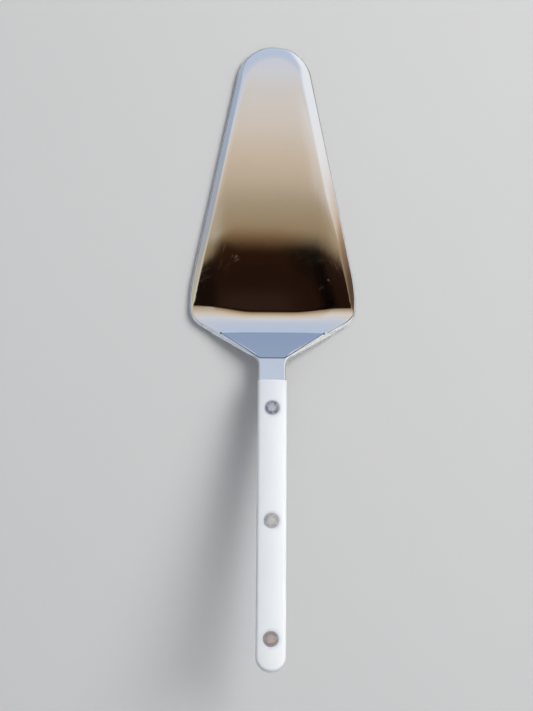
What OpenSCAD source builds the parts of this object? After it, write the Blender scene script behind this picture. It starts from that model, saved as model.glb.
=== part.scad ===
// Cake server: a bent and ground steel blade with a full tang, held between two riveted handle scales.
// The blade's floor rests on z = 0 with its tip towards +Y. The handle rises towards -Y.
// The origin is the middle of the floor's underside.

/* [Blade] */
// Length of the flat floor, from the tip back to the line where the shoulder starts to rise
floor_len = 110.8; // [90:0.1:130]
// Width across the heel, the widest place
heel_w = 70; // [62:0.5:80]
// Thickness of the steel, in the blade, neck and tang
steel_t = 2.5; // [1.8:0.1:3]
// Radius of the round tip
tip_r = 16; // [12:0.5:20]
// Length over which each long side eases out of its taper, before it runs parallel at the heel
side_ease_len = 7; // [3:0.1:12]
// Length of the short parallel stretch at the widest place
heel_flat_len = 0.9; // [0.3:0.1:5]
// Radius of the two rear corners
rear_corner_r = 8.5; // [5:0.1:10]
// How far the rear corners' sharp points lie behind the start of the shoulder
rear_corner_back = 4.4; // [3:0.1:6]

/* [Ground edge] */
// Width of the ground bevel along the long sides and round the tip
bevel_w = 3; // [1:0.1:4]
// Slope of the ground bevel, in degrees
bevel_angle = 10; // [5:0.5:14]

/* [Shoulder] */
// Radius of the long hollow curve that lifts the shoulder off the floor
rise_r = 40; // [30:1:50]
// Slope at which that curve ends, in degrees
rise_angle = 13; // [10:0.5:16]
// Slope of the flat facet above it, in degrees
facet_angle = 24; // [20:0.5:30]
// Length of the facet, up its slope
facet_len = 10.6; // [8:0.1:12]
// Radius of the bends at both ends of the facet
bend_r = 6; // [3:0.5:8]
// Depth of the coined panel at its upper end; it starts flush with the facet's lower end
panel_depth = 0.3; // [0.1:0.05:0.5]
// Width of the rim left between the panel and the shoulder's slanting edges
panel_rim = 1.1; // [0.8:0.1:2]
// Radius of the panel's two corners at the neck
panel_corner_r = 3; // [1:0.5:4]

/* [Neck and tang] */
// Width of the neck, and of the tang between the scales
neck_w = 11.5; // [10:0.1:11.8]
// Length of the bare neck, from the facet's upper bend to the scales
neck_len = 10; // [6:0.5:14]
// Radius of the hollow corners where the shoulder runs into the neck
neck_corner_r = 5; // [3:0.5:7]
// Slope of the neck and handle, in degrees
handle_angle = 17; // [14:0.5:19]

/* [Handle] */
// Length of the handle scales
scale_len = 118; // [112:0.5:130]
// Width of the handle scales
scale_w = 12; // [12:0.1:14]
// Thickness of each handle scale
scale_t = 3.6; // [3.2:0.1:4.5]
// Radius on the scales' outer long edges
scale_edge_r = 1.2; // [0.5:0.1:2]

/* [Rivets] */
// Distance from the front of the scales to the first rivet
rivet_first = 12; // [9:0.5:16]
// Distance from the last rivet to the butt
rivet_last = 12.4; // [9:0.1:16]
// Diameter of the rivet heads
head_d = 6; // [5:0.1:7]
// Thickness of the rivet heads
head_t = 1.4; // [1:0.1:1.8]
// Outer diameter of the sleeve half
sleeve_d = 4.4; // [4:0.1:4.6]
// Diameter of the pin half
pin_d = 3; // [2.4:0.1:3.2]

/* [Hidden] */
$fn = 96;

// Clearances, each on one side
head_clear = 0.04;
sleeve_clear = 0.05;
pin_clear = 0.01;
// Room left at the rivet's inner ends, so that its heads close on the scales and not on each other
closing_gap = 0.4;
// Height of the coined panel's plane over the facet's lower end, so that the two cross at a clean line
panel_lead = 0.02;
// How far cuts run past the surfaces that they open
overrun = steel_t;
// Turn from one point of a drawn arc to the next, in degrees
arc_step = 3;

function arc(centre, r, a, b) =
    let (steps = ceil(abs(b - a) / arc_step))
    [for (i = [0:steps]) let (angle = a + (b - a) * i / steps) centre + r * [cos(angle), sin(angle)]];
function without_first(points) = [for (i = [1:len(points) - 1]) points[i]];
function backwards(points) = [for (i = [len(points) - 1:-1:0]) points[i]];
// An outline's right half, followed by its mirror image
function mirrored(half) = concat(half, [for (point = backwards(half)) if (point[0] > 0) [-point[0], point[1]]]);
function tangent_len(r, turn) = r * tan(turn / 2);

// Side view of the steel: x is the distance behind the shoulder's start, y the height. These points lie on
// the top face, in the order in which the sheet bends.
function slope_dir(a) = [cos(a), sin(a)];
function slope_normal(a) = [-sin(a), cos(a)];
crown_r = bend_r + steel_t;
rise_centre = [0, steel_t + rise_r];
rise_end = rise_centre - rise_r * slope_normal(rise_angle);
bend_centre = rise_end + bend_r * slope_normal(rise_angle);
facet_start = bend_centre - bend_r * slope_normal(facet_angle);
facet_end = facet_start + facet_len * slope_dir(facet_angle);
crown_centre = facet_end - crown_r * slope_normal(facet_angle);
neck_start = crown_centre + crown_r * slope_normal(handle_angle);
grip_start = neck_start + neck_len * slope_dir(handle_angle);

// Plan view: y towards the tip
tip_y = floor_len / 2;
heel_y = -floor_len / 2;
tip_centre = [0, tip_y - tip_r];
rear_apex = [heel_w / 2, heel_y - rear_corner_back];
neck_apex = [neck_w / 2, heel_y - neck_start[0]];
// Angle of the shoulder's slanting edges from the X axis, and the turns at both of their ends
slant_angle = atan((rear_apex[1] - neck_apex[1]) / (rear_apex[0] - neck_apex[0]));
slant_turn = 90 - slant_angle;
rear_reach = tangent_len(rear_corner_r, slant_turn);
// The sharp corner that the easing rounds, between a long side and the parallel stretch
side_apex = rear_apex + [0, rear_reach + heel_flat_len + side_ease_len];
// Angle of the long sides from the centreline: they leave the tip circle at a tangent
side_angle = atan(side_apex[0] / (tip_centre[1] - side_apex[1])) - asin(tip_r / norm(side_apex - tip_centre));
side_normal = [cos(side_angle), sin(side_angle)];
side_ease_r = side_ease_len / tan(side_angle / 2);
tip_tangent = tip_centre + tip_r * side_normal;

// The handle's own frame: x across, y towards the tip, z out of the tang's top face, and the origin at the
// front of the scales
stack_t = steel_t + 2 * scale_t;
rivet_pitch = (scale_len - rivet_first - rivet_last) / 2;
rivet_places = [for (i = [0:2]) rivet_first + i * rivet_pitch];
half_len = stack_t - head_t - closing_gap;

// Moves a piece from the handle's own frame to its place
module on_handle() {
    translate([0, heel_y - grip_start[0], grip_start[1]]) rotate([-handle_angle, 0, 0]) children();
}

module at_rivet(place) {
    translate([0, -place, 0]) children();
}

module both_sides() {
    children();
    mirror([1, 0, 0]) children();
}

// Stands a side view up: its x runs back from the shoulder's start, its y is the height
module stand_up(width) {
    translate([0, heel_y, 0]) rotate([90, 0, -90]) linear_extrude(width, center = true) children();
}

// The line that runs along the sheet at a depth below its top face
function sheet_line(depth) = concat(
    [[-floor_len - overrun, steel_t - depth]],
    arc(rise_centre, rise_r + depth, -90, rise_angle - 90),
    without_first(arc(bend_centre, bend_r + depth, rise_angle - 90, facet_angle - 90)),
    arc(crown_centre, crown_r - depth, facet_angle + 90, handle_angle + 90),
    [grip_start + (scale_len + overrun) * slope_dir(handle_angle) - depth * slope_normal(handle_angle)]
);

// The blade from above, with its tang running on past the butt
module blade_plan() {
    neck_reach = tangent_len(neck_corner_r, slant_turn);
    polygon(mirrored(concat(
        arc(tip_centre, tip_r, 90, side_angle),
        arc(side_apex - [side_ease_r, side_ease_len], side_ease_r, side_angle, 0),
        arc(rear_apex - [rear_corner_r, -rear_reach], rear_corner_r, 0, -slant_turn),
        arc(neck_apex + [neck_corner_r, -neck_reach], neck_corner_r, slant_angle + 90, 180),
        [[neck_w / 2, heel_y - grip_start[0] - scale_len - overrun]]
    )));
}

// Everything ahead of the tang's half-round end, in the handle's frame
module ahead_of_butt() {
    round_y = neck_w / 2 - scale_len;
    translate([0, 0, -heel_w]) linear_extrude(2 * heel_w) polygon(mirrored(concat(
        [[heel_w, floor_len + scale_len], [heel_w, round_y]],
        arc([0, round_y], neck_w / 2, 0, -90)
    )));
}

module bent_sheet() {
    intersection() {
        stand_up(2 * heel_w) polygon(concat(sheet_line(0), backwards(sheet_line(steel_t))));
        translate([0, 0, -overrun]) linear_extrude(scale_len) blade_plan();
        on_handle() ahead_of_butt();
    }
}

// Removes the metal above the ground bevel on one long side. Where the shoulder rises into the bevel's plane,
// the plane cuts it back and runs out through the rear corner.
module side_bevel_cut() {
    run = norm(tip_tangent - side_apex) + norm(side_apex - rear_apex);
    span = 2 * bevel_w;
    translate([tip_tangent[0], tip_tangent[1], steel_t])
        rotate(side_angle)
            translate([-bevel_w, -run, 0])
                rotate([0, bevel_angle, 0])
                    translate([-span, 0, 0]) cube([2 * span, run + overrun, span]);
}

// The same bevel carried round the tip as a cone
module tip_bevel_cut() {
    ridge_r = tip_r - bevel_w;
    outer_r = tip_r + overrun;
    drop = (outer_r - ridge_r) * tan(bevel_angle);
    reach = 2 * outer_r;
    translate([0, tip_centre[1], steel_t]) intersection() {
        rotate_extrude() polygon([[ridge_r, 0], [outer_r, -drop], [outer_r, overrun], [ridge_r, overrun]]);
        translate([0, 0, -reach / 2]) linear_extrude(reach) polygon([
            [0, 0],
            reach * side_normal,
            [0, reach],
            reach * [-side_normal[0], side_normal[1]]
        ]);
    }
}

// Plan of the coined panel, parallel to the shoulder's slanting edges
module panel_plan() {
    inset = panel_rim / sin(slant_angle);
    head_y = heel_y - rise_end[0];
    foot_y = heel_y - facet_end[0];
    head_x = neck_apex[0] + (head_y - neck_apex[1]) / tan(slant_angle) - inset;
    foot_x = neck_apex[0] + (foot_y - neck_apex[1]) / tan(slant_angle) - inset;
    foot_reach = tangent_len(panel_corner_r, slant_angle);
    polygon(mirrored(concat(
        [[head_x, head_y]],
        arc([foot_x - foot_reach, foot_y + panel_corner_r], panel_corner_r, slant_angle - 90, -90)
    )));
}

// The panel's plane clears the facet's lower end by panel_lead and sinks below its upper end by panel_depth
module panel_cut() {
    head = facet_start + panel_lead * slope_normal(facet_angle);
    foot = facet_end - panel_depth * slope_normal(facet_angle);
    intersection() {
        stand_up(heel_w) polygon([head, foot, foot + [0, overrun], head + [0, overrun]]);
        linear_extrude(grip_start[1] + overrun) panel_plan();
    }
}

module blade() {
    color("silver") difference() {
        bent_sheet();
        both_sides() side_bevel_cut();
        tip_bevel_cut();
        panel_cut();
        on_handle() for (place = rivet_places) at_rivet(place) translate([0, 0, -steel_t - overrun])
            cylinder(d = sleeve_d + 2 * sleeve_clear, h = steel_t + 2 * overrun);
    }
}

// Half of a scale's cross-section, from its centreline out, with the outer edge rounded
module scale_half_section() {
    square([scale_w / 2 - scale_edge_r, scale_t]);
    square([scale_w / 2, scale_t - scale_edge_r]);
    translate([scale_w / 2 - scale_edge_r, scale_t - scale_edge_r]) circle(scale_edge_r);
}

// One scale with its inner face on z = 0 and its outer face up
module scale_blank() {
    bar_len = scale_len - scale_w / 2;
    rotate([90, 0, 0]) linear_extrude(bar_len) both_sides() scale_half_section();
    translate([0, -bar_len, 0]) rotate_extrude() scale_half_section();
}

module handle_scale() {
    difference() {
        scale_blank();
        for (place = rivet_places) at_rivet(place) {
            translate([0, 0, -overrun]) cylinder(d = sleeve_d + 2 * sleeve_clear, h = scale_t + 2 * overrun);
            translate([0, 0, scale_t - head_t]) cylinder(d = head_d + 2 * head_clear, h = head_t + overrun);
        }
    }
}

module upper_scale() {
    color("white") on_handle() handle_scale();
}

module lower_scale() {
    color("white") on_handle() translate([0, 0, -steel_t]) mirror([0, 0, 1]) handle_scale();
}

// The male half: its head is let into the upper scale, and its pin hangs down inside the sleeve
module rivet_pin(place) {
    color("darkgray") on_handle() at_rivet(place) {
        translate([0, 0, scale_t - head_t]) cylinder(d = head_d, h = head_t);
        translate([0, 0, scale_t - half_len]) cylinder(d = pin_d, h = half_len);
    }
}

// The female half: its head is let into the lower scale
module rivet_sleeve(place) {
    color("gray") on_handle() at_rivet(place) translate([0, 0, -steel_t - scale_t]) difference() {
        union() {
            cylinder(d = head_d, h = head_t);
            cylinder(d = sleeve_d, h = half_len);
        }
        translate([0, 0, head_t]) cylinder(d = pin_d + 2 * pin_clear, h = half_len);
    }
}

blade();
upper_scale();
lower_scale();
rivet_pin(rivet_places[0]);  // front_rivet_pin
rivet_sleeve(rivet_places[0]);  // front_rivet_sleeve
rivet_pin(rivet_places[1]);  // middle_rivet_pin
rivet_sleeve(rivet_places[1]);  // middle_rivet_sleeve
rivet_pin(rivet_places[2]);  // rear_rivet_pin
rivet_sleeve(rivet_places[2]);  // rear_rivet_sleeve
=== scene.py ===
import bpy
import bmesh
import math
from mathutils import Matrix, Vector


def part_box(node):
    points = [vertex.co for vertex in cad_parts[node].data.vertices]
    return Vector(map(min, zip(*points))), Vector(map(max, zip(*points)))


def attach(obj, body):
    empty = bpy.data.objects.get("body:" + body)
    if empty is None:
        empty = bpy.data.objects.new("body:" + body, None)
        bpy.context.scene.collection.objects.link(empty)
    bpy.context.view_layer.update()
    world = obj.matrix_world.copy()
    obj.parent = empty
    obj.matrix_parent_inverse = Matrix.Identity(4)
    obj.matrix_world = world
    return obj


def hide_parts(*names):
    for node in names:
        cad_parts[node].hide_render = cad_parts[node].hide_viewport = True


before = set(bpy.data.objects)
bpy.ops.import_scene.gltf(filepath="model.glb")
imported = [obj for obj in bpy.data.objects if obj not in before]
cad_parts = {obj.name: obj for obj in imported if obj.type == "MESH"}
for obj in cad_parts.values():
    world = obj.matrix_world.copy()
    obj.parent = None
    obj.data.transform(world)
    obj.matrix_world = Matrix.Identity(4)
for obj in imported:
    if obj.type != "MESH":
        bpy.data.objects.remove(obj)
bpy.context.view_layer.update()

# Pieces are modelled in millimetres, in the frame of the CAD part, and scaled once at the end
mm = 0.001
onePoint = 1e-4  # vertices nearer than this are one
onPlane = 1e-3  # points nearer to a plane than this lie on it
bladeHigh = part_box("blade")[1] / mm


def clamp(value):
    return min(1, max(0, value))


def smoothStep(low, high, value):
    share = clamp((value - low) / (high - low))
    return share * share * (3 - 2 * share)


def mix(low, high, share):
    return low + (high - low) * share


def slopeDir(angle):
    return Vector((math.cos(angle), math.sin(angle)))


def slopeNormal(angle):
    return Vector((-math.sin(angle), math.cos(angle)))


def newPiece(bm, name, material, replaced, sharpAngle=35):
    bmesh.ops.recalc_face_normals(bm, faces=bm.faces)
    bmesh.ops.scale(bm, vec=(mm, mm, mm), verts=bm.verts)
    mesh = bpy.data.meshes.new(name)
    bm.to_mesh(mesh)
    bm.free()
    mesh.shade_smooth()
    mesh.set_sharp_from_angle(angle=math.radians(sharpAngle))
    mesh.materials.append(material)
    piece = bpy.data.objects.new(name, mesh)
    bpy.context.scene.collection.objects.link(piece)
    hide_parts(replaced)
    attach(piece, "root")
    print(name, len(mesh.polygons), "faces")
    return piece


# Materials

class Wire:  # the output of a node; arithmetic on it adds the Math nodes
    def __init__(self, shader, socket):
        self.shader = shader
        self.socket = socket

    def math(self, operation, *values):
        inputs = dict(enumerate([self, *values]))
        return self.shader.node("ShaderNodeMath", {"operation": operation}, inputs)

    def __add__(self, other):
        return self.math("ADD", other)

    def __sub__(self, other):
        return self.math("SUBTRACT", other)

    def __rsub__(self, other):
        return (self * -1) + other

    def __mul__(self, other):
        return self.math("MULTIPLY", other)

    def __truediv__(self, other):
        return self.math("DIVIDE", other)

    def __pow__(self, other):
        return self.math("POWER", other)

    def __abs__(self):
        return self.math("ABSOLUTE")

    __radd__ = __add__
    __rmul__ = __mul__

    def smallest(self, other):
        return self.math("MINIMUM", other)

    def largest(self, other):
        return self.math("MAXIMUM", other)

    # 0 below low and 1 above high, or the other way round
    def fade(self, low, high):
        settings = {"interpolation_type": "SMOOTHSTEP"}
        if low < high:
            return self.shader.node("ShaderNodeMapRange", settings, {0: self, 1: low, 2: high})
        return 1 - self.shader.node("ShaderNodeMapRange", settings, {0: self, 1: high, 2: low})


class Shader:
    def __init__(self, tree):
        self.tree = tree
        tree.nodes.clear()

    def node(self, kind, settings=None, inputs=None, output=0):
        made = self.tree.nodes.new(kind)
        for name, value in (settings or {}).items():
            if name == "stops":
                self.setStops(made.color_ramp, value)
            else:
                setattr(made, name, value)
        for name, value in (inputs or {}).items():
            if isinstance(value, Wire):
                self.tree.links.new(value.socket, made.inputs[name])
            else:
                made.inputs[name].default_value = value
        return Wire(self, made.outputs[output])

    def setStops(self, ramp, stops):
        while len(ramp.elements) < len(stops):
            ramp.elements.new(1)
        for element, (position, colour) in zip(ramp.elements, stops):
            element.position = position
            element.color = (*colour, 1)

    def blend(self, share, first, second):
        settings = {"data_type": "RGBA"}
        inputs = {0: share, 6: first, 7: second}
        return self.node("ShaderNodeMix", settings, inputs, 2)

    def split(self, vector):
        made = self.node("ShaderNodeSeparateXYZ", None, {0: vector})
        return [Wire(self, socket) for socket in made.socket.node.outputs]

    def place(self, turn=(0, 0, 0), scale=(1, 1, 1), shift=(0, 0, 0)):
        where = self.node("ShaderNodeTexCoord", None, None, "Object")
        inputs = {"Vector": where, "Location": shift, "Rotation": turn, "Scale": scale}
        return self.node("ShaderNodeMapping", None, inputs)

    def noise(self, vector, scale, detail=2, roughness=0.5):
        inputs = {"Vector": vector, "Scale": scale, "Detail": detail, "Roughness": roughness}
        return self.node("ShaderNodeTexNoise", None, inputs, 0)

    def spots(self, scale, detail, roughness, low, high, shift=(0, 0, 0)):
        return self.noise(self.place(shift=shift), scale, detail, roughness).fade(low, high)

    def bump(self, height, distance):
        return self.node("ShaderNodeBump", None, {"Height": height, "Distance": distance})

    def finish(self, surface):
        out = self.tree.nodes.new("ShaderNodeOutputMaterial")
        self.tree.links.new(surface.socket, out.inputs["Surface"])


def newMaterial(name):
    material = bpy.data.materials.new(name)
    material.use_nodes = True
    return material, Shader(material.node_tree)


# The handle's own directions: x across, y towards the tip, z out of the tang's top face
handleAngle = math.radians(17)

polish = {
    "colour": (0.86, 0.865, 0.875, 1),
    "tarnish": (0.60, 0.57, 0.53, 1),
    "roughness": 0.03,
    "streakDepth": 1.2e-6,  # of the long polishing streaks, in metres
    "waveDepth": 1.0e-5,  # of the slow waves left by the buffing wheel
    "streaksPerMetre": (420, 14, 420),
    "wavesPerMetre": (34, 20, 34),
    "smudges": (75, 5, 0.62, 0.5, 0.78),  # noise scale, detail, roughness, where it sets in and is full
    "prints": (26, 2, 0.5, 0.56, 0.72, (0.3, 0.1, 0)),
    "specks": (1500, 3, 0.6, 0.5, 0.68),
    "wear": (0.015, 0.01, 0.02, 0.2, 0.14),  # roughness of smudges, prints, scratches, groove, drops
    "scratchDepth": 3e-7,
    "scratches": ((0.35, 0.00016, 0.012, 0.72),  # turn, width, length and noise threshold
                  (-0.5, 0.00019, 0.009, 0.73), (1.2, 0.00014, 0.008, 0.73),
                  (0.04, 0.00022, 0.03, 0.73)),
    "grooveShade": (0.075, 0.07, 0.085, 1),  # painted shade along the coined panel's step, where its small wall lies in shade
    "grooveWidth": 0.00026,
    "grooveCorner": 0.0005,
    "grooveShare": 0.45,  # how dark the painted shade line is at its top, and how much darker at its foot
    "topLineShare": 0.16,  # of the faint painted shade line on the panel's top edge
    "topLineReach": 0.016,
    "cornerShadowRadius": 0.0006,  # of the painted shadows in the corners at the ends of that line
    "cornerShadowShare": 0.85,
    "drops": ((-15.7, -33.7, 2.4), (20.5, -46.5, 1.6),  # dried ones: x, y, radius
              (23.5, -43, 1.1), (6, 28, 1.8)),
}


def distance(x, y):
    return (x * x + y * y) ** 0.5


def hairlines(shader, turn, width, length, threshold):
    # Fine scratches along y, turned about z
    stretch = {"Vector": shader.place((0, 0, turn)), "Scale": (1 / width, 1 / length, 1 / length)}
    vector = shader.node("ShaderNodeMapping", None, stretch)
    return shader.noise(vector, 1, 1, 0.5).fade(threshold, threshold + 0.04)


def panelGrooveShade(shader):
    # Painted shade: a thin dark line on the outline of the coined panel, faint at its top and full at its
    # foot, with a faint line and painted corner shadows along its top
    x, y, z = shader.split(shader.place())
    across = abs(x)
    normal = slopeNormal(panelAngle)
    side = across * normal.x + y * normal.y - panelApex.dot(normal) * mm
    foot = y - panelFootY * mm
    top = (heelY - facetStart.x) * mm - y
    below = foot.math("SMOOTH_MIN", side, polish["grooveCorner"])
    width = polish["grooveWidth"]
    outline = abs(below - width / 2).fade(width, width * 0.4) * top.fade(-0.2 * mm, 0.1 * mm)
    darker = top.fade(0, (facetEnd.x - facetStart.x) * mm)
    share = polish["grooveShare"] * (1 + darker)
    inside = side.fade(-0.1 * mm, 0.1 * mm) * side.fade(polish["topLineReach"], 0)
    topLine = abs(top).fade(width, 0) * inside
    cornerShadows = distance(across - panelTopX * mm, top).fade(polish["cornerShadowRadius"], polish["cornerShadowRadius"] / 2)
    return (outline * share).largest(topLine * polish["topLineShare"]).largest(cornerShadows * polish["cornerShadowShare"])


def driedDrops(shader):
    x, y, z = shader.split(shader.place())
    specks = shader.spots(*polish["specks"])
    drops = None
    for dropX, dropY, radius in polish["drops"]:
        drop = distance(x - dropX * mm, y - dropY * mm).fade(radius * mm, radius * 0.3 * mm)
        drops = drop if drops is None else drops.largest(drop)
    return drops * specks


def steelMaterial():
    material, shader = newMaterial("polishedSteel")
    streaks = shader.noise(shader.place(scale=polish["streaksPerMetre"]), 1, 3, 0.6)
    waves = shader.noise(shader.place(scale=polish["wavesPerMetre"]), 1, 1, 0.4)
    smudges = shader.spots(*polish["smudges"])
    prints = shader.spots(*polish["prints"])
    scratches = None
    for scratch in polish["scratches"]:
        lines = hairlines(shader, *scratch)
        scratches = lines if scratches is None else scratches.largest(lines)
    colour = shader.blend(smudges * 0.08 + scratches * 0.02, polish["colour"], polish["tarnish"])
    # Painted shade along the coined panel's step, its top edge and its top corners
    grooveShade = panelGrooveShade(shader)
    colour = shader.blend(grooveShade, colour, polish["grooveShade"])
    layers = (smudges, prints, scratches, grooveShade, driedDrops(shader))
    wear = sum(layer * share for layer, share in zip(layers, polish["wear"]))
    waved = shader.bump(waves, polish["waveDepth"])
    streaked = shader.node("ShaderNodeBump", None, {
        "Height": streaks, "Distance": polish["streakDepth"], "Normal": waved})
    scratched = shader.node("ShaderNodeBump", {"invert": True}, {
        "Height": scratches, "Distance": polish["scratchDepth"], "Normal": streaked})
    shader.finish(shader.node("ShaderNodeBsdfPrincipled", None, {
        "Base Color": colour, "Metallic": 1.0, "Roughness": polish["roughness"] + wear,
        "Normal": scratched}))
    return material


acrylic = {
    "colour": (0.735, 0.75, 0.765, 1),
    "cloud": (0.718, 0.736, 0.757, 1),
    # gapShade: painted shade in the narrow gap round each rivet's head
    "gapShade": (0.36, 0.33, 0.31, 1),
    "clouds": (60, 2, 0.5),
    "grain": (900, 3, 0.6),
    "halo": (0.33, 0.40, 0.51, 1),  # a soft darkening round each rivet and at the front end
    "haloWidth": 0.0018,
    "haloInside": 0.0004,
    "haloShare": 0.4,
    "frontReach": (0.021, 0.003),  # behind the front end, over which its darkening grows
    "frontShare": 0.14,
    "gapShadeWidth": (0.0003, 0.0001),  # of the painted shade in the gap, outside a rivet's head
    "roughness": 0.285,  # where it crosses 0.275, the denoiser draws contours
    "dentDepth": 1.5e-6,
    "scratches": ((0.2, 0.0002, 0.01, 0.72), (-0.9, 0.0002, 0.008, 0.73)),
    "wear": (0.05, 0.05, 0.02),  # roughness of clouds, scratches and grain
}


def acrylicMaterial(handlePlace, rivetPlaces, headRadius):
    material, shader = newMaterial("whiteAcrylic")
    where = shader.place()
    x, y, z = shader.split(where)
    # Distance along the handle from the front of its scales, and out to the nearest rivet's axis
    along = (y * -math.cos(handleAngle) + z * math.sin(handleAngle)
             + (handlePlace.y * math.cos(handleAngle) - handlePlace.z * math.sin(handleAngle)))
    nearest = None
    for rivetPlace in rivetPlaces:
        reach = distance(along - rivetPlace, x)
        nearest = reach if nearest is None else nearest.smallest(reach)
    clouds = shader.noise(where, *acrylic["clouds"])
    grain = shader.noise(where, *acrylic["grain"])
    outer, inner = acrylic["gapShadeWidth"]
    ring = nearest.fade(headRadius + outer, headRadius + inner)
    colour = shader.blend(clouds.fade(0.15, 0.85), acrylic["colour"], acrylic["cloud"])
    halo = nearest.fade(headRadius + acrylic["haloWidth"], headRadius - acrylic["haloInside"])
    frontEnd = along.fade(*acrylic["frontReach"]) * acrylic["frontShare"]
    colour = shader.blend((halo * acrylic["haloShare"]).largest(frontEnd), colour, acrylic["halo"])
    # Painted shade in the gap round each head, patchy with the clouds
    colour = shader.blend(ring * (0.2 + 0.5 * clouds), colour, acrylic["gapShade"])
    first, second = (hairlines(shader, *scratch) for scratch in acrylic["scratches"])
    layers = (clouds.fade(0.2, 0.8), first.largest(second), grain)
    wear = sum(layer * share for layer, share in zip(layers, acrylic["wear"]))
    shader.finish(shader.node("ShaderNodeBsdfPrincipled", None, {
        "Base Color": colour, "Roughness": acrylic["roughness"] + wear, "IOR": 1.49,
        "Subsurface Weight": 0.12, "Subsurface Scale": 0.002, "Subsurface Radius": (1.0, 0.9, 0.8),
        "Coat Weight": 0.25, "Coat Roughness": 0.08,
        "Normal": shader.bump(grain, acrylic["dentDepth"])}))
    return material


nickel = {
    # Of the front, the middle and the rear rivet
    "colours": ((0.85, 0.833, 0.842, 1), (0.94, 0.86, 0.77, 1), (0.77, 0.64, 0.54, 1)),
    # Painted shade: each head's darker ring, standing in for the darker reflection of its dome and the shade
    # at its edge
    "rims": ((0.29, 0.27, 0.30, 1), (0.60, 0.555, 0.525, 1), (0.45, 0.385, 0.37, 1)),
    "roughness": 0.34,
    "lineDepth": 3e-6,
    "linesPerMetre": (9000, 500, 500),
    "wornSpots": (520, 1, 0.5, 0.62, 0.42),
    "patches": (1500, 3, 0.7),
    "raggedness": 0.3,  # of the rim's inner edge
    "rimFade": (0.27, 0.77),  # share of the head's radius, over which the painted shade ring sets in
    # A painted highlight lightens the ring again near the head's very edge
    "brightEdge": (0.8, 0.95),
    "brightShare": 0.7,
}


def nickelMaterial():
    material, shader = newMaterial("groundNickel")
    rim = shader.node("ShaderNodeAttribute", {"attribute_name": "rim"}, None, "Fac")
    tone = shader.node("ShaderNodeAttribute", {"attribute_name": "tone"}, None, "Fac")
    patches = shader.noise(shader.place(), *nickel["patches"])
    lines = shader.noise(shader.place((0, 0, 0.6), nickel["linesPerMetre"]), 1, 2, 0.6)

    def ofRivet(front, middle, rear):
        colour = shader.blend((tone * 2).smallest(1), front, middle)
        return shader.blend((tone * 2 - 1).largest(0), colour, rear)

    # The painted shade ring, eased by a painted highlight at the very edge, patchy with the worn spots
    edge = (rim + (patches - 0.5) * nickel["raggedness"]).fade(*nickel["rimFade"])
    edge = edge * (1 - rim.fade(*nickel["brightEdge"]) * nickel["brightShare"])
    worn = shader.spots(*nickel["wornSpots"])
    rimShadeAndPatches = edge * (0.45 + 0.5 * worn) + patches.fade(0.46, 0.62) * 0.25
    colour = shader.blend(rimShadeAndPatches, ofRivet(*nickel["colours"]), ofRivet(*nickel["rims"]))
    roughness = nickel["roughness"] + patches * 0.12 + lines * 0.08
    shader.finish(shader.node("ShaderNodeBsdfPrincipled", None, {
        "Base Color": colour, "Metallic": 1.0, "Roughness": roughness,
        "Normal": shader.bump(lines, nickel["lineDepth"])}))
    return material


# The blade's outline, seen from above

blade = {
    "steel": 2.5,
    "floorLength": 110.8,
    "tipRadius": 16,
    "easeLength": 7,  # over which each long side eases into the heel
    "flatLength": 0.9,  # of the parallel stretch at the widest place
    "cornerRadius": 8.5,
    "cornerBack": 4.4,
    "neckWidth": 11.5,
    "neckLength": 10,
    "neckCornerRadius": 5,
    "arcStep": math.radians(3),
    "edgeRadius": 0.6,
    "edgeSegments": 4,
}
shoulder = {
    "riseRadius": 40,
    "riseAngle": math.radians(13),
    "facetAngle": math.radians(24),
    "facetLength": 10.6,
    "bendRadius": 6,
    "creaseBow": (1.95, 1.4),  # how far ahead the crease lies at the left side and at the right
    "bowInside": 8,
    "bowOutside": 27,
    "bowPower": 1.5,  # the higher, the longer the bow goes on towards the facet
}
grinding = {
    "width": 3,
    "slope": math.tan(math.radians(10)),
    "ridgeSoftness": (0.13, 0.46),  # at the left and the right; the larger, the wider the ridge's rounding
    "tipSoftness": 0.40,
    "tipStretch": (-14, 12),  # along the side, over which the tip's softness takes over
    "heelSoftness": (0.5, 0.3),  # by which the ridge is sharper at the heel, at the left and the right
    "heelStretch": ((-5, -40), (0, -30)),
    "heelDrop": 0.07,  # how much shallower the bevel is at the heel
    "release": 0.15,  # lets the grinding run out behind the rear corners
    "releaseBack": 5,
    "rings": (0.2, 0.2, 0.2, 0.2, 0.3, 0.3, 0.3, 0.3, 0.3, 0.3, 0.3, 0.3, 0.3, 0.4, 0.5, 0.5),
}
softening = {  # of the top edge round the shoulder and the neck
    "radius": 1.6,
    "neckRadius": 0.85,
    "stretch": (2, 8),  # behind the start of the shoulder, over which it sets in
    "neckStretch": (17, 22),
    "coverReach": 3,  # how far the softened part goes on under the scales
}
panel = {
    "depth": 0.3,
    "rim": 1.1,
    "spread": math.radians(3.2),  # by which its sides leave the blade's edges towards its top
    "footBack": 0.75,  # how far its foot reaches over the crown
    "corner": 3,
    "cornerCuts": 6,
    "cornerReach": 1,  # of each of its cuts
    "sideReach": (3, 2),  # of the sides' cuts, ahead of the facet and behind the crown
    "step": 0.22,
}
lattice = {  # rows lie behind the start of the shoulder, and columns beside the middle
    "floorRows": [-51 + 4 * step for step in range(12)],
    "shoulderRows": [-3 + 0.5 * step for step in range(25)],
    "neckRows": [9.3, 9.6, 9.9, 10.2, 11.2, 12.6, 14, 15.4, 16.8, 18.2, 19.3, 20.1, 20.4, 20.7, 22, 26],
    "columnRows": (-3, 12),  # the columns run from the one to the other
    "columnReach": 34,
    "closeColumns": 24,  # from here out they lie half a millimetre apart instead of one
}

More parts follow.
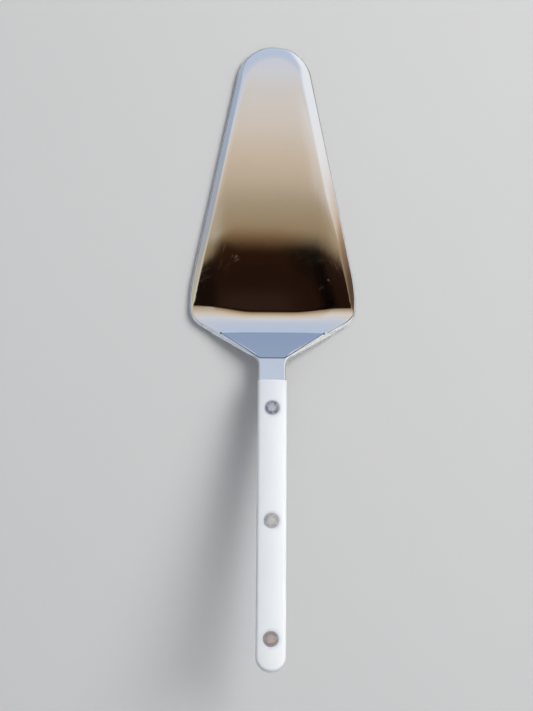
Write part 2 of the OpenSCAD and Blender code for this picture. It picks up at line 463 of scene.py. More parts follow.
# Where the bends begin and end: the distance behind the start of the shoulder, and the height
steel = blade["steel"]
tipY = bladeHigh.y
heelY = tipY - blade["floorLength"]
riseCentre = Vector((0, steel + shoulder["riseRadius"]))
riseEnd = riseCentre - shoulder["riseRadius"] * slopeNormal(shoulder["riseAngle"])
bendCentre = riseEnd + shoulder["bendRadius"] * slopeNormal(shoulder["riseAngle"])
facetStart = bendCentre - shoulder["bendRadius"] * slopeNormal(shoulder["facetAngle"])
facetEnd = facetStart + shoulder["facetLength"] * slopeDir(shoulder["facetAngle"])
crownRadius = shoulder["bendRadius"] + steel
crownCentre = facetEnd - crownRadius * slopeNormal(shoulder["facetAngle"])
neckStart = crownCentre + crownRadius * slopeNormal(handleAngle)
gripStart = neckStart + blade["neckLength"] * slopeDir(handleAngle)
gripY = heelY - gripStart.x

# The outline's corners, before they are rounded, and the slopes between them
tipCentre = Vector((0, tipY - blade["tipRadius"]))
rearApex = Vector((bladeHigh.x, heelY - blade["cornerBack"]))
neckApex = Vector((blade["neckWidth"] / 2, heelY - neckStart.x))
slantAngle = math.atan2(rearApex.y - neckApex.y, rearApex.x - neckApex.x)
slantTurn = math.pi / 2 - slantAngle
rearReach = blade["cornerRadius"] * math.tan(slantTurn / 2)
sideApex = rearApex + Vector((0, rearReach + blade["flatLength"] + blade["easeLength"]))
sideSpan = sideApex - tipCentre
sideAngle = math.atan2(sideSpan.x, -sideSpan.y) - math.asin(blade["tipRadius"] / sideSpan.length)
sideNormal = slopeDir(sideAngle)

# The coined panel's outline: its foot, its sides and the round corners between them
panelAngle = slantAngle + panel["spread"]
panelFootY = heelY - facetEnd.x - panel["footBack"]
panelFootX = neckApex.x + (heelY - facetEnd.x - neckApex.y) / math.tan(slantAngle)
panelFootX -= panel["rim"] / math.sin(slantAngle)
panelApex = Vector((panelFootX, panelFootY))
panelCorner = panelApex + Vector((-panel["corner"] * math.tan(panelAngle / 2), panel["corner"]))
panelTopX = panelFootX + (heelY - facetStart.x - panelFootY) / math.tan(panelAngle)


def lineTo(bm, vert, x, y):
    ahead = bm.verts.new((x, y, 0))
    bm.edges.new((vert, ahead))
    return ahead


def arcTo(bm, vert, centreX, centreY, turn):
    spun = bmesh.ops.spin(bm, geom=[vert], cent=(centreX, centreY, 0), axis=(0, 0, 1), angle=turn,
                          steps=math.ceil(abs(turn) / blade["arcStep"]))
    return spun["geom_last"][0]


def closeOutline(bm):
    bmesh.ops.mirror(bm, geom=bm.verts[:] + bm.edges[:], axis="X", merge_dist=onePoint)
    bmesh.ops.remove_doubles(bm, verts=bm.verts, dist=onePoint)
    return bmesh.ops.contextual_create(bm, geom=bm.edges[:])["faces"][0]


def thicken(bm, face, thickness):
    if face.normal.z < 0:
        face.normal_flip()
    under = bmesh.ops.extrude_face_region(bm, geom=[face], use_keep_orig=True)["geom"]
    verts = [item for item in under if isinstance(item, bmesh.types.BMVert)]
    bmesh.ops.translate(bm, vec=(0, 0, -thickness), verts=verts)
    bmesh.ops.recalc_face_normals(bm, faces=bm.faces)


def roundEdges(bm, edges, radius, segments):
    bmesh.ops.bevel(bm, geom=edges, offset=radius, offset_type="OFFSET", segments=segments,
                    profile=0.5, affect="EDGES", material=-1, clamp_overlap=True)


def cut(bm, point, normal, faces=None):
    faces = bm.faces[:] if faces is None else faces
    edges = {edge for face in faces for edge in face.edges}
    verts = {vert for face in faces for vert in face.verts}
    bmesh.ops.bisect_plane(bm, geom=[*faces, *edges, *verts], dist=onePoint, plane_co=point,
                           plane_no=normal)


def facesWithin(bm, test):
    return [face for face in bm.faces if test(face.calc_center_median())]


def bladeSlab():
    # The sheet as a flat slab with round edges, its top face at z = 0
    bm = bmesh.new()
    last = arcTo(bm, bm.verts.new((0, tipY, 0)), tipCentre.x, tipCentre.y, sideAngle - math.pi / 2)
    easeRadius = blade["easeLength"] / math.tan(sideAngle / 2)
    easeCentre = sideApex - Vector((easeRadius, blade["easeLength"]))
    last = lineTo(bm, last, *(easeCentre + easeRadius * sideNormal))
    last = arcTo(bm, last, easeCentre.x, easeCentre.y, -sideAngle)
    last = lineTo(bm, last, rearApex.x, rearApex.y + rearReach)
    last = arcTo(bm, last, rearApex.x - blade["cornerRadius"], rearApex.y + rearReach, -slantTurn)
    neckReach = blade["neckCornerRadius"] * math.tan(slantTurn / 2)
    neckCentre = neckApex + Vector((blade["neckCornerRadius"], -neckReach))
    last = lineTo(bm, last, *(neckCentre - blade["neckCornerRadius"] * slopeDir(slantAngle - math.pi / 2)))
    last = arcTo(bm, last, neckCentre.x, neckCentre.y, slantTurn)
    roundY = gripY - handle["length"] + neckApex.x
    last = lineTo(bm, last, neckApex.x, roundY)
    arcTo(bm, last, 0, roundY, -math.pi / 2)
    thicken(bm, closeOutline(bm), steel)
    rims = [edge for edge in bm.edges if abs(edge.verts[0].co.z - edge.verts[1].co.z) < steel / 2]
    roundEdges(bm, rims, blade["edgeRadius"], blade["edgeSegments"])
    return bm


def circleAt(bm, y, height, radius):
    place = Matrix.Translation((0, y, height))
    made = bmesh.ops.create_circle(bm, segments=rivet["holeSteps"], radius=radius, matrix=place)
    return list({edge for vert in made["verts"] for edge in vert.link_edges})


def spinProfile(bm, profile, y, steps):
    # Turns a profile of radii and heights about the upright axis at y
    verts = [bm.verts.new((radius, y, height)) for radius, height in profile]
    edges = [bm.edges.new(pair) for pair in zip(verts, verts[1:])]
    bmesh.ops.spin(bm, geom=verts + edges, cent=(0, y, 0), axis=(0, 0, 1), angle=2 * math.pi,
                   steps=steps, use_merge=True)


def openHole(bm, y, height, half, radius):
    # Swaps the square of faces round (0, y, height) for faces with a round hole, and returns its rim
    square = facesWithin(bm, lambda centre: max(abs(centre.x), abs(centre.y - y)) < half
                         and abs(centre.z - height) < onPlane)
    border = [edge for edge in {e for face in square for e in face.edges}
              if sum(face in square for face in edge.link_faces) == 1]
    bmesh.ops.delete(bm, geom=square, context="FACES")
    rim = circleAt(bm, y, height, radius)
    bmesh.ops.triangle_fill(bm, use_beauty=True, edges=border + rim)
    return rim


def boreTang(bm, coverY):
    half = blade["neckWidth"] / 2 - rivet["tangMargin"]

    def onTang(centre):
        return centre.y < coverY and min(abs(centre.z), abs(centre.z + steel)) < onPlane

    for place in rivet["places"]:
        for offset in (-half, half):
            cut(bm, (0, gripY - place + offset, 0), (0, 1, 0), facesWithin(bm, onTang))
    for offset in (-half, half):
        cut(bm, (offset, 0, 0), (1, 0, 0), facesWithin(bm, onTang))
    radius = rivet["sleeveRadius"] + rivet["sleeveClear"]
    for place in rivet["places"]:
        upper, under = (openHole(bm, gripY - place, height, half, radius) for height in (0, -steel))
        bmesh.ops.bridge_loops(bm, edges=upper + under)


def sheetProfile(back):
    # Height and slope of the steel's top face, a distance behind the start of the shoulder
    if back <= 0:
        return steel, 0
    if back <= riseEnd.x:
        slope = math.asin(back / shoulder["riseRadius"])
        return riseCentre.y - shoulder["riseRadius"] * math.cos(slope), slope
    if back <= facetStart.x:
        slope = math.asin((back - bendCentre.x) / shoulder["bendRadius"])
        return bendCentre.y - shoulder["bendRadius"] * math.cos(slope), slope
    if back <= facetEnd.x:
        slope = shoulder["facetAngle"]
        return facetStart.y + (back - facetStart.x) * math.tan(slope), slope
    if back <= neckStart.x:
        slope = math.asin((crownCentre.x - back) / crownRadius)
        return crownCentre.y + crownRadius * math.cos(slope), slope
    return neckStart.y + (back - neckStart.x) * math.tan(handleAngle), handleAngle


def groundHeight(x, y):
    # Height of the ground bevel's plane, which turns into a cone round the tip
    out = Vector((abs(x), y)) - tipCentre
    along = out.dot(slopeNormal(sideAngle))
    spread = out.length if along > 0 else out.dot(sideNormal)
    behind = max(0, heelY - y - grinding["releaseBack"])
    height = steel - (spread - blade["tipRadius"] + grinding["width"]) * grinding["slope"]
    atTip = smoothStep(*grinding["tipStretch"], along)
    softness = mix(grinding["ridgeSoftness"][x > 0], grinding["tipSoftness"], atTip)
    leftHeel, rightHeel = (smoothStep(*stretch, y) for stretch in grinding["heelStretch"])
    height += grinding["heelDrop"] * leftHeel + grinding["release"] * behind * behind
    sharper = mix(1, grinding["heelSoftness"][x > 0], rightHeel if x > 0 else leftHeel)
    return height, softness * sharper


def panelEdge(x, y):
    # Distance inside the coined panel's outline
    out = Vector((abs(x), y)) - panelCorner
    if out.x > 0 and out.dot(slopeDir(panelAngle)) < 0:
        return panel["corner"] - out.length
    return min(y - panelFootY, (Vector((abs(x), y)) - panelApex).dot(slopeNormal(panelAngle)))


def bendSheet(co, inside):
    # Moves a point of the slab to its place in the bent and ground sheet; inside is how far it lies
    # from the rim of the top face
    x, y, depth = co.x, co.y, -co.z
    if y < gripY:  # the outline was drawn on the flat tang here
        y = gripY + (y - gripY) * math.cos(handleAngle)
    back = heelY - y
    bow = shoulder["creaseBow"][x > 0] * smoothStep(shoulder["bowInside"], shoulder["bowOutside"], abs(x))
    height, slope = sheetProfile(back + bow * (1 - clamp(back / facetStart.x) ** shoulder["bowPower"]))
    ground, softness = groundHeight(x, y)
    share = clamp(0.5 + (height - ground) / (2 * softness))
    worn = height - (mix(height, ground, share) - softness * share * (1 - share))
    rise = clamp((back - facetStart.x) / (facetEnd.x - facetStart.x))
    if rise > 0:
        worn += panel["depth"] * rise * smoothStep(0, panel["step"], panelEdge(x, y))
    atNeck = smoothStep(*softening["neckStretch"], back)
    radius = mix(softening["radius"], softening["neckRadius"], atNeck)
    outward = max(0, radius - blade["edgeRadius"] - inside)
    rounding = radius - math.sqrt(radius ** 2 - outward ** 2)
    worn += rounding * smoothStep(*softening["stretch"], back)
    depth = worn + depth * (steel - worn) / steel
    return Vector((x, y - depth * math.sin(slope), height - depth * math.cos(slope)))


def insetTop(bm):
    # Rings along the outline of the floor, shoulder and neck carry the ground bevel and its soft ridge.
    # Each of their points keeps how far inside the top face's rim it lies
    inside = bm.verts.layers.float.new("inside")
    top = max((face for face in bm.faces if face.normal.z > 0.99), key=lambda face: face.calc_area())
    total = 0
    for ring in grinding["rings"]:
        bmesh.ops.inset_region(bm, faces=[top], thickness=ring, use_even_offset=True, use_boundary=True)
        total += ring
        for vert in top.verts:
            vert[inside] = total
    return inside


def cutLattice(bm):
    # Rows and columns carry the bends, the bowed crease and the run-out of the ridge
    panelFoot = heelY - panelFootY
    rows = lattice["floorRows"] + lattice["shoulderRows"] + lattice["neckRows"]
    rows += [facetStart.x, facetEnd.x, panelFoot, panelFoot - panel["step"], neckStart.x]
    for row in sorted(rows):
        cut(bm, (0, heelY - row, 0), (0, 1, 0))
    cut(bm, (0, 0, 0), (1, 0, 0))
    first, last = lattice["columnRows"]
    for column in range(-2 * lattice["columnReach"], 2 * lattice["columnReach"] + 1):
        across = column / 2
        if column % 2 == 0 or abs(across) > lattice["closeColumns"]:
            band = [face for face in facesWithin(bm, lambda centre: first < heelY - centre.y < last)
                    if min(vert.co.x for vert in face.verts) < across < max(vert.co.x for vert in face.verts)]
            cut(bm, (across, 0, 0), (1, 0, 0), band)


def cutPanel(bm, side):
    # Cuts along one side of the coined panel and round its corner, at the step's top and foot
    reachAhead, reachBehind = panel["sideReach"]

    def cutUpright(point, normal, reach):
        faces = facesWithin(bm, lambda centre: centre.x * side > 0 and centre.z > -onPlane
                            and facetStart.x - reachAhead < heelY - centre.y < neckStart.x + reachBehind
                            and (Vector((abs(centre.x), centre.y)) - point).length < reach)
        cut(bm, (side * point.x, point.y, 0), (side * normal.x, normal.y, 0), faces)

    normal = slopeNormal(panelAngle)
    for step in (0, panel["step"]):
        cutUpright(panelApex + step * normal, normal, math.inf)
    for turn in range(1, panel["cornerCuts"]):
        out = slopeDir(-math.pi / 2 + panelAngle * turn / panel["cornerCuts"])
        for radius in (panel["corner"], panel["corner"] - panel["step"]):
            cutUpright(panelCorner + radius * out, out, panel["cornerReach"])


def makeBlade(material):
    bm = bladeSlab()
    coverY = gripY - softening["coverReach"]
    cut(bm, (0, coverY, 0), (0, 1, 0))
    inside = insetTop(bm)
    cutLattice(bm)
    for side in (-1, 1):
        cutPanel(bm, side)
    boreTang(bm, coverY)
    for vert in bm.verts:
        covered = vert.co.y <= coverY + onPlane
        vert.co = bendSheet(vert.co, softening["radius"] if covered else vert[inside])
    return newPiece(bm, "bladeSteel", material, "blade", 30)


# The handle: two scales, and three rivets of two halves each

handle = {
    "length": 118,
    "width": 12,
    "thickness": 3.6,
    "edgeRadius": 1.2,
    "edgeSegments": 6,
    "seamRadius": 0.12,
    "seamSegments": 2,
    "crown": 0.8,  # how much lower the long edges lie than the middle
    "crownColumns": 4,  # on either side of the middle
    "pocketMargin": 0.5,  # between the rounded edges and the squares that the pockets are opened in
    "pocketEdge": (0.04, 0.012),
}
rivet = {
    "places": (12, 58.8, 105.6),  # behind the scales' front end
    "headRadius": 3,
    "headThickness": 1.4,
    "headClear": 0.04,
    "face": ((0, 0.03), (0.4, 0.025), (0.75, 0.012)),  # share of the head's radius, and height
    "faceEdge": ((0.2, 0), (0.06, -0.01), (0.015, -0.035), (0, -0.09)),  # inside the radius, and height
    "sleeveRadius": 2.2,
    "sleeveClear": 0.05,
    "pinRadius": 1.5,
    "pinClear": 0.01,
    "endChamfer": 0.2,
    "closingGap": 0.4,  # left between a stem's end and the other half's head
    "tangMargin": 1.6,  # between the tang's sides and the squares that its holes are opened in
    "wear": (0.03, 0.018),  # shifts the painted shade ring on each head to one side, across and along
    "steps": 64,
    "holeSteps": 48,
}

handlePlace = Vector((0, gripY, gripStart.y))
onHandle = Matrix.Translation(handlePlace) @ Matrix.Rotation(-handleAngle, 4, "X")
underHandle = onHandle @ Matrix.Translation((0, 0, -steel)) @ Matrix.Rotation(math.pi, 4, "Y")


def crownDrop(co):
    return handle["crown"] * (co.x / (handle["width"] / 2)) ** 2


def makeScale(name, replaced, matrix, material):
    bm = bmesh.new()
    half = handle["width"] / 2
    thickness = handle["thickness"]
    last = lineTo(bm, bm.verts.new((0, 0, 0)), half, 0)
    last = lineTo(bm, last, half, half - handle["length"])
    arcTo(bm, last, 0, half - handle["length"], -math.pi / 2)
    thicken(bm, closeOutline(bm), thickness)
    bmesh.ops.translate(bm, vec=(0, 0, thickness), verts=bm.verts)
    outer = [edge for edge in bm.edges if all(vert.co.z > thickness - onPlane for vert in edge.verts)
             and not all(vert.co.y > -onPlane for vert in edge.verts)]
    roundEdges(bm, outer, handle["edgeRadius"], handle["edgeSegments"])
    seams = [edge for edge in bm.edges if all(vert.co.z < onPlane for vert in edge.verts)
             or all(vert.co.y > -onPlane for vert in edge.verts)]
    roundEdges(bm, seams, handle["seamRadius"], handle["seamSegments"])
    # Rows frame the squares that the pockets are opened in, and columns carry the crown
    square = half - handle["edgeRadius"] - handle["pocketMargin"]
    for place in rivet["places"]:
        for share in (-1, -0.5, 0, 0.5, 1):
            cut(bm, (0, share * square - place, 0), (0, 1, 0))
    columns = handle["crownColumns"]
    for column in range(-columns, columns + 1):
        cut(bm, (square * column / columns, 0, 0), (1, 0, 0))
    pocket = rivet["headRadius"] + rivet["headClear"]
    hole = rivet["sleeveRadius"] + rivet["sleeveClear"]
    floor = thickness - rivet["headThickness"]
    wide, narrow = handle["pocketEdge"]
    profile = ((pocket + wide, thickness), (pocket + narrow, thickness - narrow), (pocket, thickness - wide),
               (pocket, floor), (hole, floor), (hole, 0))
    for place in rivet["places"]:
        openHole(bm, -place, thickness, square, pocket + wide)
        openHole(bm, -place, 0, square, hole)
        spinProfile(bm, profile, -place, rivet["holeSteps"])
    bmesh.ops.remove_doubles(bm, verts=bm.verts, dist=onePoint)
    for vert in bm.verts:
        vert.co.z -= crownDrop(vert.co) * max(0, vert.co.z) / thickness
    bmesh.ops.transform(bm, matrix=matrix, verts=bm.verts)
    return newPiece(bm, name, material, replaced)


def rivetProfile(hollow):
    # From the middle of the head's face, at height 0, out and down to the stem's end
    head = rivet["headRadius"]
    under = -rivet["headThickness"]
    end = rivet["headThickness"] + rivet["closingGap"] - steel - 2 * handle["thickness"]
    stem = rivet["sleeveRadius"] if hollow else rivet["pinRadius"]
    chamfer = rivet["endChamfer"]
    profile = [(head * share, height) for share, height in rivet["face"]]
    profile += [(head - inside, height) for inside, height in rivet["faceEdge"]]
    profile += [(head, under), (stem, under), (stem, end + chamfer), (stem - chamfer, end)]
    if not hollow:
        return profile + [(0, end)]
    bore = rivet["pinRadius"] + rivet["pinClear"]
    return profile + [(bore, end), (bore, under), (0, under)]


def makeRivetHalf(name, replaced, place, tone, matrix, material, hollow):
    bm = bmesh.new()
    spinProfile(bm, rivetProfile(hollow), 0, rivet["steps"])
    bmesh.ops.remove_doubles(bm, verts=bm.verts, dist=onePoint)
    rimLayer, toneLayer = (bm.verts.layers.float.new(name) for name in ("rim", "tone"))
    for vert in bm.verts:
        flat = vert.co.xy
        # rim: share of the head's radius, shifted to one side, that places the nickel's painted shade ring
        vert[rimLayer] = (flat.length - Vector(rivet["wear"]).dot(flat)) / rivet["headRadius"]
        vert[toneLayer] = tone
        if vert.co.z > -rivet["headThickness"] / 2:
            vert.co.z -= crownDrop(vert.co)
    placed = matrix @ Matrix.Translation((0, -place, handle["thickness"]))
    bmesh.ops.transform(bm, matrix=placed, verts=bm.verts)
    return newPiece(bm, name, material, replaced)


steelFinish = steelMaterial()
rivetPlaces = [place * mm for place in rivet["places"]]
acrylicFinish = acrylicMaterial(handlePlace * mm, rivetPlaces, rivet["headRadius"] * mm)
nickelFinish = nickelMaterial()
makeBlade(steelFinish)
makeScale("upperScaleAcrylic", "upper_scale", onHandle, acrylicFinish)
makeScale("lowerScaleAcrylic", "lower_scale", underHandle, acrylicFinish)
for label, place, tone in zip(("front", "middle", "rear"), rivet["places"], (0, 0.5, 1)):
    for half, matrix in (("Pin", onHandle), ("Sleeve", underHandle)):
        replaced = f"{label}_rivet_{half.lower()}"
        makeRivetHalf(label + "Rivet" + half, replaced, place, tone, matrix, nickelFinish, half == "Sleeve")


# The studio: a pale floor, a soft window light, and a lit cloth high above that the steel mirrors

studio = {
    "floorColour": (0.60, 0.60, 0.595, 1),
    "floorSize": 24,
    "mottle": (9, 5, 0.6),
    "mottleShade": 0.97,
    "worldColour": (0.90, 0.93, 1.0, 1),
    "worldStrength": 0.46,
    "keyPlace": (1.1, 0.7, 1.25),
    "keySize": 1.1,
    "keyPower": 33,
    "keyColour": (1.0, 0.985, 0.96),
}

# Three walls that only mirrored light sees, in metres. These sizes are shared
sideCard = {
    "foot": 0.05,  # above the floor
    "dimFoot": 0.5,
    "dimTo": 0.2,
    "brightFrom": 0.8,  # share of its top
    "paneSoftness": 0.3,
    "clutter": (2.3, 1, 0.4),
    "clutterFade": (0.36, 0.62),
    "clutterShare": 0.42,
    "glow": 1.1,
}

# To the right, to the left and beyond the tip. A pane goes from one place along its wall to another
windowWall = {
    "turn": 0,
    "distance": 2.3,
    "top": 2.9,
    "reach": 6,
    "wall": (0.42, 0.41, 0.40, 1),
    "panes": ((-5.7, -0.7, (1.05, 1.08, 1.10, 1)), (0.1, 1.0, (0.85, 0.89, 0.95, 1)),
              (2.2, 3.6, (0.80, 0.84, 0.9, 1))),
}
shadyWall = {
    "turn": 180,
    "distance": 2.6,
    "top": 2.9,
    "reach": 5,
    "wall": (0.30, 0.33, 0.40, 1),
    "panes": ((-4.9, -1.1, (0.60, 0.66, 0.78, 1)), (1.5, 2.6, (0.66, 0.69, 0.74, 1))),
}
farWall = {
    "turn": 90,
    "distance": 4.3,
    "top": 2.9,
    "reach": 3,
    "wall": (0.50, 0.52, 0.56, 1),
    "panes": ((-1.1, 0.9, (0.86, 0.90, 0.98, 1)),),
}


def newGrid(size):
    bm = bmesh.new()
    bmesh.ops.create_grid(bm, x_segments=1, y_segments=1, size=size)
    return bm


def stageObject(name, bm, material):
    mesh = bpy.data.meshes.new(name)
    bm.to_mesh(mesh)
    bm.free()
    mesh.materials.append(material)
    made = bpy.data.objects.new(name, mesh)
    bpy.context.scene.collection.objects.link(made)
    return made


def makeFloor():
    material, shader = newMaterial("paleFloor")
    mottle = shader.noise(shader.place(), *studio["mottle"])
    low = tuple(studio["mottleShade"] * value for value in studio["floorColour"][:3]) + (1,)
    shader.finish(shader.node("ShaderNodeBsdfPrincipled", None, {
        "Base Color": shader.blend(mottle, studio["floorColour"], low), "Roughness": 0.9,
        "Specular IOR Level": 0.1}))
    stageObject("floor", newGrid(studio["floorSize"] / 2), material)


# What the polished steel mirrors: angles from straight overhead in degrees towards the tip, and colours,
# for the middle of the cloth and its right and left sides
cloth = {
    "height": 3.0,
    "reach": 4.2,
    "ahead": ((-50, (0.13, 0.12, 0.11)), (-12, (0.22, 0.18, 0.14)), (4.8, (0.34, 0.247, 0.14)),
              (5.9, (0.41, 0.32, 0.21)), (7.1, (0.56, 0.45, 0.33)), (8.2, (0.635, 0.517, 0.397)),
              (9.3, (0.68, 0.59, 0.50)), (10.4, (0.70, 0.635, 0.57)), (11.5, (0.69, 0.65, 0.62)),
              (12.1, (0.69, 0.69, 0.70)), (12.6, (0.65, 0.68, 0.75)), (16.3, (0.585, 0.627, 0.725)),
              (22, (0.53, 0.606, 0.75)), (27.9, (0.52, 0.60, 0.755)), (32, (0.58, 0.65, 0.77)),
              (38, (0.45, 0.53, 0.66)), (45, (0.29, 0.376, 0.537)), (50, (0.28, 0.36, 0.52))),
    "right": ((-50, (0.66, 0.70, 0.75)), (-34, (0.86, 0.89, 0.93)), (-16, (0.90, 0.93, 0.96)),
              (-8, (0.50, 0.48, 0.45)), (-2, (0.13, 0.10, 0.08)),
              (4.7, (0.105, 0.067, 0.043)), (5.4, (0.108, 0.067, 0.043)),
              (6.28, (0.222, 0.139, 0.089)), (7.2, (0.30, 0.20, 0.12)), (8.1, (0.43, 0.305, 0.19)),
              (8.5, (0.53, 0.40, 0.28)), (8.9, (0.635, 0.50, 0.38)), (9.46, (0.69, 0.575, 0.47)),
              (9.9, (0.722, 0.615, 0.52)), (10.3, (0.76, 0.66, 0.60)), (10.8, (0.83, 0.775, 0.755)),
              (12.1, (0.88, 0.855, 0.86)), (14.9, (0.88, 0.91, 0.94)), (30, (0.92, 0.94, 0.98)),
              (50, (0.80, 0.84, 0.92))),
    "left": ((-50, (0.22, 0.26, 0.34)), (-36, (0.42, 0.48, 0.60)), (-16, (0.48, 0.54, 0.67)),
             (-3, (0.437, 0.376, 0.269)), (2.5, (0.578, 0.557, 0.437)), (5, (0.47, 0.44, 0.36)),
             (6.6, (0.51, 0.465, 0.36)), (7.3, (0.50, 0.465, 0.38)), (8.2, (0.43, 0.42, 0.38)),
             (9.9, (0.398, 0.42, 0.473)), (12.7, (0.386, 0.437, 0.505)), (15, (0.392, 0.462, 0.578)),
             (30, (0.42, 0.50, 0.63)), (50, (0.35, 0.42, 0.55))),
    "span": 50,  # the angle at which the lists above end, on either side
    "rightSlant": 0.325,  # by which the right side's list lies aslant, from rightFrom on
    "rightFrom": 18,
    "rightShift": 4,
    "ridgeShare": 0.3,  # of the right side that shows beside the blade's ground ridge
    "ridgeSlant": 0.2,
    "glintShare": 0.43,  # of the seam that shows beside the shade
    "clutterSpots": (2.0, 1, 0.4, 0.40, 0.62),
    "clutterShare": 0.7,
    "seam": (0.62, 0.585, 0.49),  # a pale stretch between the left side and the middle
    "leftRim": (0.59, 0.68, 0.87),  # mirrored only by the rounded edges along the shoulder
    "rightRim": (1.02, 1.05, 1.07),
    "farEnd": (0.47, 0.49, 0.53),  # where it meets the far wall, which only lower views mirror
    "clutter": (0.15, 0.16, 0.19),  # dark patches behind, for the other views
}

# A dark round-cornered oblong straight above, in degrees too, with a warm border at its top
shade = {
    "colour": (0.0175, 0.0068, 0.0036),
    "aheadColour": (0.0260, 0.0080, 0.0025),
    "rightColour": (0.0012, 0.0012, 0.0012),
    "lowColour": (0.028, 0.0137, 0.0092),
    "border": (0.34, 0.20, 0.098),
    "ahead": -1.75,  # of its middle
    "reach": (2.62, 2.96, 5.96),  # to the left, to the right and ahead of its middle
    "lowerReach": (1.7, 2.1),  # how much wider it gets low down at the left and at the right
    "tilt": 0.027,
    "corner": 0.8,
    "softness": (0.34, 0.76, 0.62),  # at the left, in the middle and at the right
    "folds": (26, 3, 1),  # across, ahead and up
    "foldShare": 0.35,
    "leftShare": 0.55,  # of the right side's colour, shown at the left side too
    "slant": 0.3,
}

# Where each part of the cloth and its shade sets in and where it is full, in degrees across or ahead;
# borderDepth is in shares, as shadeEdge gives them
fades = {
    "rightAcross": (4, 10), "rightShift": (12, 20), "ridgeAcross": (3.56, 4.16), "ridgeAhead": (11.5, 10),
    "seamAcross": (-4.6, -7.4), "seamAhead": (9, 5), "glintAcross": (-2, -2.6), "glintAhead": (3.7, 4.4),
    "leftAcross": (-15, -19), "leftRimAcross": (-25, -29), "leftRimAhead": (9, 6),
    "rightRimAcross": (24, 28), "rightRimAhead": (6.5, 4.5), "farEnd": (50.5, 54.5), "clutter": (-14, -24),
    "shadeLeft": (-1.5, -2.4), "shadeRight": (0, 2.4), "widerLeft": (3.7, 1.9), "widerRight": (3.9, 1.7),
    "shadeAhead": (2.6, 4.1), "lowAhead": (2.1, 1.1), "lowLeft": (-3, -1.6), "lowRight": (2, 0.5),
    "darkCorner": (3.5, 5.6), "darkRight": (2.7, 3.2), "darkEnd": (3.75, 3.5), "darkLeft": (-2.2, -2.7),
    "borderLeft": (-2.6, -2.2), "borderRight": (2.3, 1), "borderDepth": (0.9, -0.2),
}


def clothColour(shader, across, ahead):
    span = cloth["span"]

    def ramp(name, angle):
        placed = [((stop + span) / (2 * span), colour) for stop, colour in cloth[name]]
        return shader.node("ShaderNodeValToRGB", {"stops": placed}, {0: (angle + span) / (2 * span)})

    def over(share, colour, name):
        return shader.blend(share, colour, (*cloth[name], 1))

    # The right side sets in further out as it goes ahead, and faintly beside the blade's ground ridge
    nearRidge = (across + ahead * cloth["ridgeSlant"]).fade(*fades["ridgeAcross"])
    nearRidge = nearRidge * ahead.fade(*fades["ridgeAhead"])
    shifted = across - ahead.fade(*fades["rightShift"]) * cloth["rightShift"]
    toRight = shifted.fade(*fades["rightAcross"]).largest(nearRidge * cloth["ridgeShare"])
    rightAngle = ahead - (across - cloth["rightFrom"]) * cloth["rightSlant"]
    colour = shader.blend(toRight, ramp("ahead", ahead), ramp("right", rightAngle))
    glint = across.fade(*fades["glintAcross"]) * ahead.fade(*fades["glintAhead"])
    seam = across.fade(*fades["seamAcross"]).largest(glint * cloth["glintShare"])
    seam = seam * ahead.fade(*fades["seamAhead"])
    colour = over(seam, colour, "seam")
    colour = shader.blend(across.fade(*fades["leftAcross"]), colour, ramp("left", ahead))
    for name in ("rightRim", "leftRim"):
        rim = across.fade(*fades[name + "Across"]) * ahead.fade(*fades[name + "Ahead"])
        colour = over(rim, colour, name)
    colour = over(ahead.fade(*fades["farEnd"]), colour, "farEnd")
    patches = shader.spots(*cloth["clutterSpots"]) * cloth["clutterShare"]
    return over(ahead.fade(*fades["clutter"]) * patches, colour, "clutter")


def shadeColour(shader, across, ahead):
    folds = shader.noise(shader.place((0, 0, 0.1), shade["folds"]), 1, 2, 0.5)
    colour = (*shade["colour"], 1)
    colour = shader.blend(ahead.fade(*fades["shadeAhead"]), colour, (*shade["aheadColour"], 1))
    low = ahead.fade(*fades["lowAhead"]) * across.fade(*fades["lowLeft"]) * across.fade(*fades["lowRight"])
    colour = shader.blend(low, colour, (*shade["lowColour"], 1))
    slanted = across + ahead * shade["slant"]
    darker = (across + ahead).fade(*fades["darkCorner"]).largest(slanted.fade(*fades["darkRight"]))
    atLeft = across.fade(*fades["darkLeft"]) * shade["leftShare"]
    darker = (darker * slanted.fade(*fades["darkEnd"])).largest(atLeft) + (0.5 - folds) * shade["foldShare"]
    return shader.blend(darker, colour, (*shade["rightColour"], 1))


def shadeEdge(across, ahead):
    # Distance outside the shade's outline, as a share of how soft the outline is there
    corner = shade["corner"]
    left, middle, right = shade["softness"]
    softness = (middle + across.fade(*fades["shadeLeft"]) * (left - middle)
                + across.fade(*fades["shadeRight"]) * (right - middle))
    leftReach, rightReach, aheadReach = shade["reach"]
    lowerLeft, lowerRight = shade["lowerReach"]
    reachLeft = ahead.fade(*fades["widerLeft"]) * lowerLeft + leftReach
    reachRight = ahead.fade(*fades["widerRight"]) * lowerRight + rightReach
    offX = (across - (reachRight - corner)).largest(0).largest(across * -1 - (reachLeft - corner))
    tilted = ahead + across * shade["tilt"] - shade["ahead"]
    offY = (abs(tilted) - (aheadReach - corner)).largest(0)
    return (distance(offX, offY) - corner) / softness


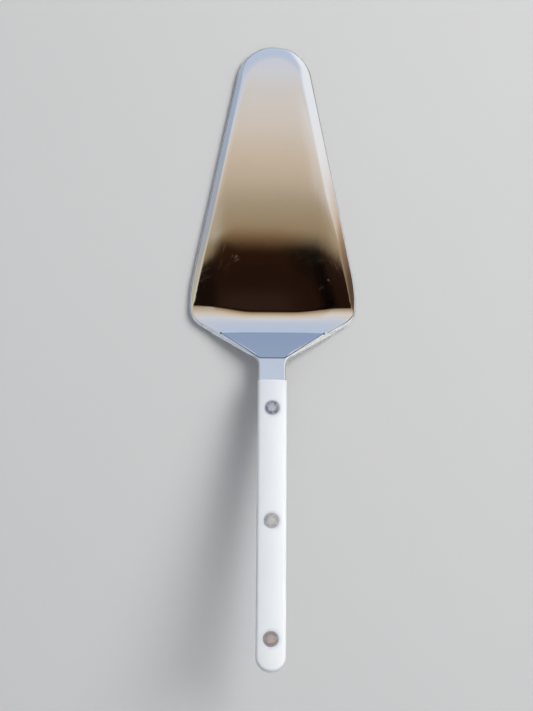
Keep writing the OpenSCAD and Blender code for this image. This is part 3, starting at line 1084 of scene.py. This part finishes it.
def makeCloth():
    material, shader = newMaterial("litCloth")
    x, y, z = shader.split(shader.place(scale=(1 / cloth["height"],) * 3))
    across = x.math("ARCTANGENT") * (180 / math.pi)
    ahead = y.math("ARCTANGENT") * (180 / math.pi)
    edge = shadeEdge(across, ahead)
    border = edge.fade(*fades["borderDepth"]) * across.fade(*fades["borderLeft"])
    border = border * across.fade(*fades["borderRight"])
    colour = shader.blend(border, clothColour(shader, across, ahead), (*shade["border"], 1))
    colour = shader.blend(edge.fade(1, -1), colour, shadeColour(shader, across, ahead))
    shader.finish(shader.node("ShaderNodeEmission", None, {"Color": colour, "Strength": 1.0}))
    bm = newGrid(cloth["reach"])
    bmesh.ops.translate(bm, vec=(0, 0, cloth["height"]), verts=bm.verts)
    mirroredOnly(stageObject("litCloth", bm, material))


def mirroredOnly(made):
    made.visible_camera = False
    made.visible_diffuse = False
    made.visible_shadow = False
    made.visible_transmission = False


def makeSideCard(name, card):
    material, shader = newMaterial(name + "Glow")
    x, y, z = shader.split(shader.place())
    along = x if card["turn"] == 90 else y
    shifted = shader.place(shift=(card["distance"], 0, 0))
    clutter = shader.noise(shifted, *sideCard["clutter"]).fade(*sideCard["clutterFade"])
    rising = z.fade(sideCard["dimTo"], card["top"] * sideCard["brightFrom"])
    lift = sideCard["dimFoot"] + (1 - sideCard["dimFoot"]) * rising
    lift = lift * (sideCard["glow"] - sideCard["clutterShare"] * clutter)
    colour = card["wall"]
    soft = sideCard["paneSoftness"]
    for low, high, glow in card["panes"]:
        pane = along.fade(low - soft, low + soft) * along.fade(high + soft, high - soft)
        colour = shader.blend(pane, colour, glow)
    lit = shader.node("ShaderNodeVectorMath", {"operation": "SCALE"}, {0: colour, "Scale": lift})
    shader.finish(shader.node("ShaderNodeEmission", None, {"Color": lit, "Strength": 1.0}))
    bm = newGrid(1)
    bmesh.ops.scale(bm, vec=(card["top"] / 2, card["reach"], 1), verts=bm.verts)
    height = card["top"] / 2 + sideCard["foot"]
    placed = (Matrix.Rotation(math.radians(card["turn"]), 4, "Z")
              @ Matrix.Translation((card["distance"], 0, height)) @ Matrix.Rotation(-math.pi / 2, 4, "Y"))
    bmesh.ops.transform(bm, matrix=placed, verts=bm.verts)
    mirroredOnly(stageObject(name, bm, material))


def makeLight():
    data = bpy.data.lights.new("windowLight", "AREA")
    data.size = studio["keySize"]
    data.energy = studio["keyPower"]
    data.color = studio["keyColour"]
    light = bpy.data.objects.new("windowLight", data)
    light.location = studio["keyPlace"]
    light.rotation_euler = (-Vector(studio["keyPlace"])).to_track_quat("-Z", "Y").to_euler()
    light.visible_glossy = False
    bpy.context.scene.collection.objects.link(light)
    world = bpy.data.worlds.new("studioWorld")
    world.use_nodes = True
    background = world.node_tree.nodes["Background"]
    background.inputs["Color"].default_value = studio["worldColour"]
    background.inputs["Strength"].default_value = studio["worldStrength"]
    bpy.context.scene.world = world


# The camera looks straight down, as in the photograph
camera = {
    "place": (-2.44, -74.8, 604.8),
    "roll": 0.0069,
    "lens": 72.39,
    "sensor": 36,
}


def makeCamera():
    data = bpy.data.cameras.new("camera")
    data.lens = camera["lens"]
    data.sensor_width = camera["sensor"]
    made = bpy.data.objects.new("camera", data)
    made.location = Vector(camera["place"]) * mm
    made.rotation_euler = (0, 0, camera["roll"])
    bpy.context.scene.collection.objects.link(made)
    bpy.context.scene.camera = made


makeFloor()
makeCloth()
makeSideCard("windowWall", windowWall)
makeSideCard("shadyWall", shadyWall)
makeSideCard("farWall", farWall)
makeLight()
makeCamera()
bpy.context.scene.view_settings.view_transform = "Standard"
print("studio, lights and camera are set")
